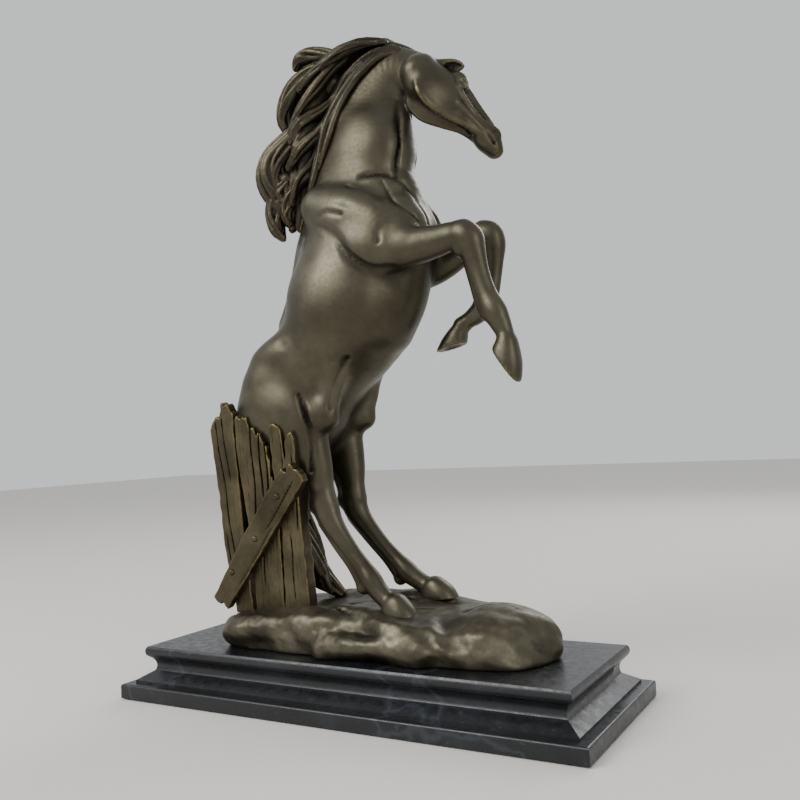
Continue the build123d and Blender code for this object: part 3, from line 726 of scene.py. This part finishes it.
# folds and creases of the coat over the muscles
both_pads(22, -12, 380, (17, 8, 18), 16, along=(0.2, 0, 1))
both_pads(-56, -27, 200, (26, 8, 10), 16, along=(1, 0, 0.05))
both_pads(-43, -42.6, 250, (2.0, 2.6, 5), 5, along=(0.6, 0, 0.8), carve=True)
creases = [
    ([(-10, -35, 327, 1, 1), (-3, -37, 323, 1.8, 2), (7, -38.5, 315, 2.2, 2.4), (15, -38, 304, 2.4, 2.6),
      (24, -36, 295, 2.4, 2.6), (34, -33, 290, 2.2, 2.4), (46, -30, 289, 1.8, 2)], 4.5),
    ([(-10, -35, 332, 0.5, 0.6), (-1, -37, 334.5, 0.8, 0.9), (12, -38, 331, 0.5, 0.6)], 3.0),
    ([(8, -37, 340, 0.5, 0.6), (15, -38, 336.5, 1.0, 1.1), (23, -38.5, 334, 0.5, 0.6)], 1.8),
    ([(12, -28, 352, 0.5, 0.6), (19, -30, 350, 0.9, 1.0), (26, -27, 350, 0.5, 0.6)], 1.8),
    ([(20, -25, 357, 0.5, 0.5), (27, -23, 357.5, 0.9, 1), (34, -20.5, 357, 1.0, 1.0),
      (44, -15, 354, 1.0, 1.0),
      (50, -11, 347, 0.9, 0.9), (57, -9, 336, 0.8, 0.8), (61, -8, 322, 0.5, 0.6)], 3.0),
    ([(35, -21, 353, 0.7, 0.8), (40, -21.5, 344, 1.1, 1.2), (46, -24.5, 336, 1.2, 1.2),
      (55, -24, 330, 1.0, 1.0),
      (61, -19, 322, 0.7, 0.8)], 2.0),
    ([(43, -4, 412, 0.7, 0.8), (43, -7, 397, 1.2, 1.3), (43, -10, 379, 0.9, 1.0), (42.5, -12, 365, 0.8, 0.9),
      (43, -14, 356, 0.5, 0.6)], 3.6),
    ([(40, -38, 308, 0.5, 0.5), (41, -38.4, 315, 0.6, 0.7), (46, -37.6, 320, 0.7, 0.8),
      (54, -35, 322, 0.5, 0.6)], 3.4),
    ([(6, -28, 235, 0.8, 1), (1, -28.5, 228, 1.5, 1.7), (-4, -30, 219, 1.8, 2.0), (-8, -31, 210, 1.5, 1.7),
      (-9, -30, 202, 0.8, 1)], 3.0),
    ([(-30, -36, 212, 0.8, 1), (-26, -34, 196, 1.2, 1.4), (-24, -32, 178, 1.2, 1.4),
      (-27, -30, 160, 0.8, 1)], 4.0),
    ([(-62, -30, 232, 0.8, 1), (-69, -30, 216, 1.2, 1.4), (-71, -28, 200, 1.0, 1.2)], 5.0),
]
for stations, blend in creases:
    both(stations, blend, carve=True)

# Foundry cuts between the castings: a place, the direction that the cut faces, and how far round
# the place it goes. Then a place inside each casting, under the name of the node it stands for.
welds = [
    ((9, 0, 338), (0.05, 0, 1), 62),
    ((54, 14, 428), (0.86, 0.36, -0.36), 32),
    ((67, -24.5, 304), (1, 0, 0), 18),
    ((70, 22, 306), (0.92, 0, 0.39), 17),
    ((-29, -21, 157), (0.36, 0, -0.93), 20),
    ((-29, 21, 157), (0.36, 0, -0.93), 20),
]
castings = {
    "torso_casting": (-15, 0, 250), "neck_casting": (8, 2, 385), "head_casting": face(30, -13),
    "right_foreleg_casting": (105, -24, 277), "left_foreleg_casting": (92, 22, 286),
    "right_hind_leg_casting": (-12, -18, 114), "left_hind_leg_casting": (-12, 20, 114),
}


def saw(points, quads, reliefs, welds, seats):
    """Saws a skin at its welds and closes the cuts; gives the part nearest to each seat, by name."""
    whole = bpy.data.meshes.new("whole_skin")
    whole.from_pydata(points.tolist(), [], quads.tolist())
    keep_reliefs(whole, reliefs)
    body = bmesh.new()
    body.from_mesh(whole)
    for place, normal, room in welds:
        place, normal = Vector(place), Vector(normal).normalized()
        faces = [f for f in body.faces if (f.verts[0].co - place).length < room]
        corners, edges = ({part for f in faces for part in getattr(f, kind)} for kind in ("verts", "edges"))
        geometry = faces + list(corners) + list(edges)
        cut = bmesh.ops.bisect_plane(body, geom=geometry, plane_co=place, plane_no=normal,
                                     dist=1e-4)["geom_cut"]
        seam = {e for e in cut if isinstance(e, bmesh.types.BMEdge)}
        bmesh.ops.split_edges(body, edges=list(seam))
    body.to_mesh(whole)
    body.free()
    ends = np.empty(len(whole.edges) * 2, int)
    whole.edges.foreach_get("vertices", ends)
    ends = ends.reshape(-1, 2)
    spots = np.empty(len(whole.vertices) * 3, np.float32)
    whole.vertices.foreach_get("co", spots)
    spots = spots.reshape(-1, 3)
    island = np.arange(len(spots))
    changed = True
    while changed:
        before = island.copy()
        lower = np.minimum(island[ends[:, 0]], island[ends[:, 1]])
        np.minimum.at(island, ends[:, 0], lower)
        np.minimum.at(island, ends[:, 1], lower)
        island = island[island]
        changed = (before != island).any()
    nearest = {name: np.argmin(((spots - np.array(seat)) ** 2).sum(1)) for name, seat in seats.items()}
    owners = {name: island[spot] for name, spot in nearest.items()}
    if len(set(owners.values())) < len(owners):
        raise RuntimeError(f"a saw cut does not go through: {owners}")
    parts = {}
    for name, own in owners.items():
        part = bmesh.new()
        part.from_mesh(whole)
        bmesh.ops.delete(part, geom=[v for v, i in zip(part.verts, island) if i != own], context="VERTS")
        rim = [e for e in part.edges if e.is_boundary]
        for edge in rim:
            edge.smooth = False
        for face in part.faces:
            face.smooth = True
        for face in bmesh.ops.holes_fill(part, edges=rim, sides=0)["faces"]:
            face.smooth = False
        bmesh.ops.scale(part, vec=(MM, MM, MM), verts=part.verts)
        parts[name] = bpy.data.meshes.new(name + "_skin")
        part.to_mesh(parts[name])
        part.free()
    bpy.data.meshes.remove(whole)
    return parts


points, quads = horse.skin()
sawn = saw(points, quads, reliefs_of(horse, points, fine=3.0, broad=10.0), welds, castings)
for name, mesh in sawn.items():
    place_piece(mesh, horse_bronze, name)

# Mane and tail: solid bronze locks cast apart, their strands cut in the wax with a toothed tool,
# welded along the crest of the neck and at the dock and patinated darker than the skin.
# combed bronze: the darkest patina, with brassy edges where hands and cloths rub the strands
hair_bronze = bronze("dark_combed_hair_bronze", "2c2921", "3e3a2f", "524e41", "8f7c50", rough=0.42,
                     mottle=33.3)
strand_draw = np.random.default_rng(21)


def lock(shape, stations, strands, thickness, side=(0, 1, 0), wander=0.35, blend=0.7):
    """A lock of hair: an oval core under strands that run its length and gather at its tip."""
    rows = np.array(stations, float)
    core = rows.copy()
    core[:, 3:] = np.maximum(core[:, 3:] - thickness * 0.7, 0.6)
    shape.roll(core, 2.0, side=side)
    path = smooth_path(rows, 3)
    travel = np.gradient(path[:, :3], axis=0)
    travel /= np.linalg.norm(travel, axis=1)[:, None]
    across = np.array(side) - travel * (travel @ np.array(side, float))[:, None]
    across /= np.linalg.norm(across, axis=1)[:, None]
    down = np.cross(travel, across)
    count = len(path)
    for strand in range(strands):
        turn = 2 * pi * (strand + strand_draw.uniform(-0.3, 0.3)) / strands
        first = int(strand_draw.uniform(0, 0.18) * count)
        last = count - int(strand_draw.uniform(0, 0.22) * count)
        pace = np.linspace(0, 1, count)
        sway = wander * np.sin(2 * pi * (pace * strand_draw.uniform(0.5, 1.3) + strand_draw.uniform()))
        angle = turn + sway
        wide = np.maximum(path[:, 3] - thickness * 0.55, 0.3) * np.cos(angle)
        deep = np.maximum(path[:, 4] - thickness * 0.55, 0.3) * np.sin(angle)
        spot = path[:, :3] + across * wide[:, None] + down * deep[:, None]
        size = thickness * strand_draw.uniform(0.7, 1.15) * np.minimum(1, 0.35 + 2.6 * (1 - pace)) ** 0.8
        size = size * np.minimum(1, 0.45 + 5 * pace)
        rows_here = np.column_stack([spot, size, size])[first:last]
        shape.roll(rows_here, blend, side=side, parts=1)


def lie_on(shape, stations, bed=1.0):
    """Stations of a lock moved in sideways, until it lies on the shape beside it."""
    rows = []
    for x, y, z, *sizes in stations:
        i, k = (int(round((v - low) / shape.step)) for v, low in ((x, shape.low[0]), (z, shape.low[2])))
        solid = np.flatnonzero(shape.depth[i, :, k] < 0)
        if len(solid):
            edge = shape.low[1] + shape.step * (solid[0] if y < 0 else solid[-1])
            y = max(y, edge - bed) if y < 0 else min(y, edge + bed)
        rows.append((x, y, z, *sizes))
    return rows


def hair_piece(name, shape, node_name):
    """Makes a hair casting from its clay."""
    points, quads = shape.skin(1)
    cast(name, points, quads, reliefs_of(shape, points, fine=2.0, broad=6.0), hair_bronze,
         node_name)


# mane along the crest, combed over the right side of the neck and blown back
mane = Clay((-92, -44, 318), (72, 34, 470), step=0.6)
crest_way = [(57, 11, 439), (44, 10, 450), (28, 8, 457.5), (10, 5, 459), (-4, 3, 455), (-15, 1, 444),
             (-23, 1, 428), (-28, 0, 408), (-32, 0, 384), (-37, 0, 360), (-46, 0, 338)]
mane.roll([(*p, w, d) for p, w, d in zip(crest_way, (2, 4, 6, 10, 14, 17, 19, 20, 18, 14, 8),
                                         (2, 3, 3.5, 6, 8, 9, 10, 11, 10, 8, 5))], 3)
sweeps = [
    [(20, 0, 455, 2, 2), (8, -9, 446, 4, 3), (-6, -16, 430, 5, 3.5), (-20, -19, 412, 5, 3.5),
     (-32, -19, 396, 5, 3.5),
     (-40, -17, 380, 3, 3)],
    [(12, -2, 456, 2, 2), (-4, -12, 444, 5, 3.5), (-20, -17, 428, 6, 4), (-34, -17, 412, 6, 4),
     (-46, -14, 396, 3, 3)],
    [(-4, -20, 412, 3, 2), (-14, -22, 398, 5, 3), (-24, -22, 382, 5, 3.5), (-34, -20, 366, 5, 3.5),
     (-42, -16, 352, 3, 3)],
    [(44, 6, 447, 2.5, 2), (30, -6, 446, 3, 2), (16, -15, 436, 3.5, 2.5), (4, -19.5, 424, 3.5, 2.5),
     (-6, -21.5, 410, 3.5, 2.5), (-13, -22, 396, 3, 2.5), (-20, -22, 382, 2, 2)],
    [(16, -15, 436, 2.5, 2), (6, -19.5, 424, 3, 2), (-2, -21.5, 410, 3, 2.2), (-6, -22.5, 396, 3, 2.2),
     (-11, -22.5, 384, 2.5, 2), (-18, -22, 372, 2, 1.5)],
    [(36, 2, 452, 4, 3), (18, -11, 447, 5, 3.5), (0, -18, 434, 5.5, 4), (-16, -20, 420, 5.5, 4),
     (-32, -18, 408, 5, 4),
     (-44, -14, 400, 3, 3)],
    [(30, 2, 457, 5, 3), (14, -8, 456, 6, 4), (-2, -15, 449, 6, 4), (-20, -17, 440, 5, 4),
     (-34, -14, 433, 3, 3)],
    [(40, 3, 450, 4, 3), (22, -9, 449, 6, 4), (4, -19, 437, 6, 4), (-12, -23, 420, 6, 4),
     (-28, -21, 406, 5, 4),
     (-42, -16, 396, 3, 3)],
    [(26, -8, 448, 4, 3), (12, -16, 438, 5, 3), (-2, -22, 420, 6, 3), (-14, -24, 402, 6, 4),
     (-30, -21, 388, 5, 4),
     (-46, -15, 378, 3, 3)],
    [(10, -18, 436, 3, 2), (-1, -22, 420, 4, 3), (-10, -24, 404, 4, 3), (-16, -24, 388, 4, 3),
     (-24, -22, 374, 4, 3),
     (-36, -19, 362, 3, 3), (-46, -15, 350, 2, 2)],
    [(-8, -22, 408, 3, 2), (-15, -23, 392, 4, 2.5), (-20, -22, 376, 4, 2.5), (-26, -20, 360, 4, 2.5),
     (-34, -17, 346, 3, 2.5), (-42, -13, 334, 1.5, 1.5)],
    [(6, 12, 452, 5, 4), (-10, 17, 440, 6, 5), (-24, 19, 420, 6, 5), (-34, 17, 396, 6, 5),
     (-42, 13, 370, 5, 5),
     (-50, 8, 346, 3, 3)],
    [(30, 14, 452, 4, 3), (10, 20, 444, 5, 4), (-8, 22, 426, 6, 4), (-20, 22, 402, 6, 4),
     (-28, 20, 376, 5, 4),
     (-38, 15, 350, 3, 3)],
    [(-8, 6, 452, 6, 6), (-26, 6, 440, 8, 7), (-42, 5, 420, 8, 7), (-50, 4, 402, 6, 5), (-54, 3, 386, 3, 3)],
]
for sweep in sweeps:
    lock(mane, lie_on(horse, sweep), 19, 1.25, side=(-0.35, 1, 0.25), wander=0.5, blend=0.5)
# locks of the far side and the back of the crest, hanging to the withers
lock(mane, [(-22, 2, 430, 14, 8), (-34, 2, 404, 15, 9), (-42, 0, 376, 14, 9), (-50, -2, 352, 9, 7),
            (-54, -3, 336, 3, 3)], 34, 1.5)
# tufts that stand up at the poll
for tuft in ([(24, 9, 457, 4, 2), (16, 8, 463, 3, 2), (7, 6, 463, 1.2, 1)],
             [(34, 10, 455, 4, 2), (27, 10, 462, 3, 2), (20, 9, 463.5, 1.2, 1)],
             [(6, 5, 458, 5, 3), (-8, 3, 461, 4, 3), (-20, 1, 459, 1.5, 1.5)]):
    lock(mane, tuft, 7, 1.2)
hair_piece("combed_mane", mane, "mane_casting")

# upper lock: a short curl over a long crescent, hollowed below the curl
upper = Clay((-66, -36, 394), (12, 26, 472), step=0.55)
lock(upper, [(-2, -8, 452, 5, 4), (-14, -9, 456, 6, 4.5), (-26, -10, 458.5, 6, 5), (-34, -11, 457, 5, 4.5),
             (-39, -11, 451, 3.5, 3)], 14, 1.6, side=(0.1, 1, 0.1))
upper.roll([(-14, -2, 436, 9, 9), (-30, -2, 428, 9, 10), (-40, -2, 414, 8, 9), (-42, -2, 402, 6, 5)], 3)
lock(upper, [(-8, -6, 446, 7, 6), (-26, -7, 445, 9, 7), (-41, -8, 438, 9, 7), (-50, -8, 426, 8, 6),
             (-52, -8, 414, 6, 5), (-47, -7, 403, 2, 2)], 24, 1.3, side=(0, 1, 0.1))
lock(upper, [(-6, 8, 448, 7, 6), (-24, 9, 444, 8, 7), (-38, 9, 434, 7, 6), (-46, 8, 420, 5, 4.5),
             (-47, 7, 408, 2, 2)], 16, 1.6)
upper.roll([(-22, -17, 434, 4, 5), (-36, -18, 430, 4, 6), (-44, -17, 420, 4, 5), (-46, -15, 411, 2, 3)], 2,
           carve=True)
hair_piece("upper_mane_curl", upper, "upper_mane_lock")

# lower lock: a swelling bunch that narrows and hangs behind the withers
lower = Clay((-92, -36, 318), (-22, 26, 418), step=0.55)
lock(lower, [(-34, -8, 408, 9, 6), (-48, -9, 398, 11, 8.5), (-60, -9, 388, 13, 11), (-65, -9, 376, 13, 12),
             (-63, -8, 364, 10, 10), (-56, -7, 353, 6, 6), (-48, -6, 345, 2, 2)], 36, 1.3, wander=0.2)
lock(lower, [(-46, 4, 392, 9, 7), (-58, 4, 380, 9, 8), (-64, 3, 366, 8, 8), (-63, 1, 352, 6, 6),
             (-58, 0, 342, 2.5, 2.5)], 18, 1.7)
lock(lower, [(-52, -8, 372, 8, 8), (-61, -8, 360, 8, 8.5), (-65, -8, 348, 7, 7), (-63, -8, 337, 5.5, 5),
             (-58, -8, 329, 2.6, 3)], 18, 1.7)
lock(lower, [(-46, -9, 364, 5, 6), (-52, -9, 352, 5, 5.5), (-53, -8, 343, 4, 4), (-50, -7, 337, 2, 2)], 10,
     1.5)
lower.roll([(-46, -20, 386, 4, 3), (-52, -21, 376, 4, 3), (-56, -20, 366, 3, 2.5), (-58, -17, 358, 2, 2)], 2,
           carve=True)
hair_piece("lower_mane_lock_strands", lower, "lower_mane_lock")

# tail: carried behind the fence and down to the ground, with one lock beside the right thigh
tail = Clay((-134, -34, 60), (-14, 34, 226), step=0.75)
lock(tail, [(-78, 3, 208, 8, 8), (-92, 4, 200, 11, 10), (-100, 5, 176, 13, 12), (-93, 6, 148, 15, 14),
            (-77, 7, 113, 14, 14), (-55, 9, 85, 11, 10), (-32, 11, 68, 5, 4)], 34, 2.4)
lock(tail, [(-88, -2, 200, 5, 5), (-93, -6, 178, 7, 7), (-80, -7, 150, 8, 8), (-62, -6, 118, 8, 8),
            (-46, -2, 92, 7, 7), (-38, 4, 70, 3, 3)], 18, 2.2)
lock(tail, [(-84, 12, 202, 5, 5), (-91, 16, 174, 7, 7), (-82, 18, 142, 8, 8), (-64, 18, 106, 7, 7),
            (-50, 20, 76, 3, 3)], 18, 2.2)
lock(tail, [(-66, -12, 202, 4, 5), (-55, -17, 184, 5, 6), (-47, -20, 166, 5, 6), (-41.5, -20, 146, 4, 5),
            (-40, -18, 126, 2, 3)], 14, 1.5)
hair_piece("swept_tail", tail, "tail_casting")

# Fence: weathered boards and a split post cast as one group beside the horse, with a brace nailed
# across them. Each board is shaped lying flat, then stood up on the leaning plane of the fence.
# rubbed bronze: browner than the horse, with golden ridges along the grain of the wood
fence_bronze = bronze("rubbed_fence_bronze", "3b3527", "504937", "685f49", "9c8855", rough=0.40, mottle=29.4)
fence_foot = np.array((0.0, -24.0, 58.0))
fence_lean = radians(7.4)
fence_up = np.array((0, -sin(fence_lean), cos(fence_lean)))
fence_front = np.array((0, -cos(fence_lean), -sin(fence_lean)))
grain_draw = np.random.default_rng(8)


def fence_piece(name, shape, node_name, fine, broad):
    """Stands a shape modelled lying flat up in the fence, and makes it a casting."""
    points, quads = shape.skin(1)
    reliefs = reliefs_of(shape, points, fine, broad)
    stood = fence_foot + points[:, :1] * (1, 0, 0) + points[:, 1:2] * fence_up + points[:, 2:] * fence_front
    cast(name, stood, quads, reliefs, fence_bronze, node_name)


def plank(name, outline, back, front, node_name, slope=0.0, groove=0.34, cracks=(), splinter=0.0,
          split_from=90.0):
    """A board from its outline (x along the fence, height up it), with the grain sloped by an angle,
    drying cracks (place across the grain, start, end, depth) and ends that splinter from a height up."""
    outline = np.array(outline, float)
    margin = 4.0
    soft_edge = 0.8
    low, high = outline.min(0) - margin, outline.max(0) + margin
    wood = Clay((*low, back - margin), (*high, front + margin), step=0.5)
    _, (x, s, d) = wood.window(wood.low, wood.low + 1000)
    x, s, d = x.astype(float), s.astype(float), d.astype(float)
    across = x * cos(slope) + s * sin(slope)
    # splinters: the ends break along the grain, each sliver to its own length
    broken = np.zeros_like(across)
    for sliver, share in ((1.7, 0.5), (3.4, 1.0)):
        lengths = grain_draw.uniform(-splinter, splinter, 200)
        place = (across + 150 + 0.3 * np.sin(s / 2.1)) / sliver
        step = np.clip((place % 1.0 - 0.75) * 4, 0, 1)
        here = place.astype(int) % 199
        broken = broken + share * (lengths[here] * (1 - step) + lengths[here + 1] * step)
    shifted = s + broken * np.clip((s - split_from) / 12, 0, 1)
    reach = np.full(np.broadcast(x, s).shape, 1e9)
    inside = np.zeros(reach.shape, bool)
    for (ax, ay), (bx, by) in zip(outline, np.roll(outline, -1, 0)):
        ex, ey = bx - ax, by - ay
        t = np.clip(((x - ax) * ex + (shifted - ay) * ey) / (ex * ex + ey * ey), 0, 1)
        reach = np.minimum(reach, np.hypot(x - ax - ex * t, shifted - ay - ey * t))
        crosses = (ay > shifted) != (by > shifted)
        safe = ey if abs(ey) > 1e-9 else 1e-9
        inside ^= crosses & (x < ax + ex * (shifted - ay) / safe)
    edge = np.where(inside, -reach, reach) + 0.35 * ripple(x, s, 0.0, 11.0, 5) + soft_edge
    slab = np.maximum(d - front, back - d) + soft_edge
    beyond = np.hypot(np.maximum(edge, 0), np.maximum(slab, 0))
    body = np.minimum(np.maximum(edge, slab), 0) + beyond - soft_edge
    # grain: grooves of four widths that wander a little along the board
    figure = np.zeros_like(across)
    for wavelength, share in ((2.3, 0.34), (3.7, 0.40), (6.1, 0.45), (10.5, 0.35)):
        bend = 0.8 * np.sin(s / (wavelength * 5.5) + grain_draw.uniform(0, 6))
        wave = np.sin(2 * pi * (across + bend) / wavelength + grain_draw.uniform(0, 6))
        fade = 0.75 + 0.25 * np.sin(s / 13 + grain_draw.uniform(0, 6))
        figure = figure + share * (1 - np.abs(wave)) ** 2 * fade
    for place, start, end, deep in cracks:
        line = across - place - 0.6 * np.sin(s / 9 + place)
        length = np.clip((s - start) / 6, 0, 1) * np.clip((end - s) / 6, 0, 1)
        figure = figure + deep / groove * np.exp(-(line / 0.55) ** 2) * length
    wood.depth[:] = body + groove * figure
    fence_piece(name, wood, node_name, fine=1.8, broad=5.0)


plank("left_board_grain", [
    (-103, 0), (-87, 0), (-87, 60), (-85, 132), (-84, 146), (-86.5, 150), (-89, 153), (-92, 151), (-94, 154),
    (-96, 149), (-97, 143), (-100, 144.5), (-103, 141), (-107, 134), (-106, 80), (-107, 50),
], -8, 0, "left_fence_board", slope=0.03, cracks=[(-97, 30, 143, 1.3), (-91, 96, 152, 1.0),
                                                  (-101, 4, 60, 0.8)],
      splinter=0.9, split_from=128)
plank("middle_board_grain", [
    (-84, 0), (-59, 0), (-54, 68), (-55, 100), (-56, 112), (-58, 116), (-57.5, 121), (-61, 124), (-62, 130),
    (-66, 131), (-67, 136), (-71, 137), (-73, 142), (-77, 140), (-80, 142), (-83, 139), (-85, 116),
    (-82, 60),
], -8, 0, "middle_fence_board", slope=-0.06,
      cracks=[(-78, 60, 140, 1.6), (-71, 84, 138, 2.2), (-66, 70, 132, 2.4), (-74, 20, 80, 1.0),
              (-62, 96, 124, 2.0)],
      groove=0.42, splinter=2.6, split_from=96)
plank("right_post_grain", [
    (-58, 0), (-36, 0), (-35, 80), (-34, 112), (-33, 125), (-35, 130), (-39, 129), (-41.5, 124), (-43, 110),
    (-43.6, 130), (-45, 134), (-50, 137), (-54, 136), (-54.5, 100), (-53, 68),
], -10, 0, "right_fence_post", slope=-0.03, cracks=[(-48, 10, 60, 1.0), (-49, 104, 136, 0.9),
                                                    (-40, 60, 118, 0.9)],
      groove=0.34, splinter=0.6, split_from=118)
plank("nailed_brace_grain", [
    (-105, 4), (-24, 97), (-25.5, 101), (-28, 105), (-31, 105.5), (-34, 111), (-36.5, 108), (-38, 104.5),
    (-42, 107), (-84, 57), (-117, 13), (-114.5, 9), (-111, 7), (-108.5, 9.5), (-107.5, 6),
], 0, 7, "fence_brace", slope=-0.715, cracks=[(-84, 20, 70, 0.7), (-88, 60, 100, 0.8)], groove=0.24,
      splinter=1.0, split_from=96)

# Nails: three bronze heads cast with the brace, each after a hand-forged nail that was hammered
# out of round and stands a little proud.
nail_reach = 4.5
for number, (x, s) in enumerate([(-48, 87), (-72, 57), (-97, 32)], start=1):
    head = Clay((x - nail_reach, s - nail_reach, 4.5), (x + nail_reach, s + nail_reach, 11), step=0.25)
    head.pad((x, s, 6.6), (2.6, 2.4, 2.3), 0.3)
    head.shave((x + 0.3, s - 0.4, 8.4), (0.12, -0.2, 1), 0.5, 9)
    head.roll([(x - 1.2, s + 0.8, 9.0, 0.5, 0.5), (x + 1.0, s - 0.9, 9.0, 0.5, 0.5)], 0.5, carve=True)
    fence_piece(f"brace_nail_{number}", head, "brace_nails", fine=0.8, broad=2.0)
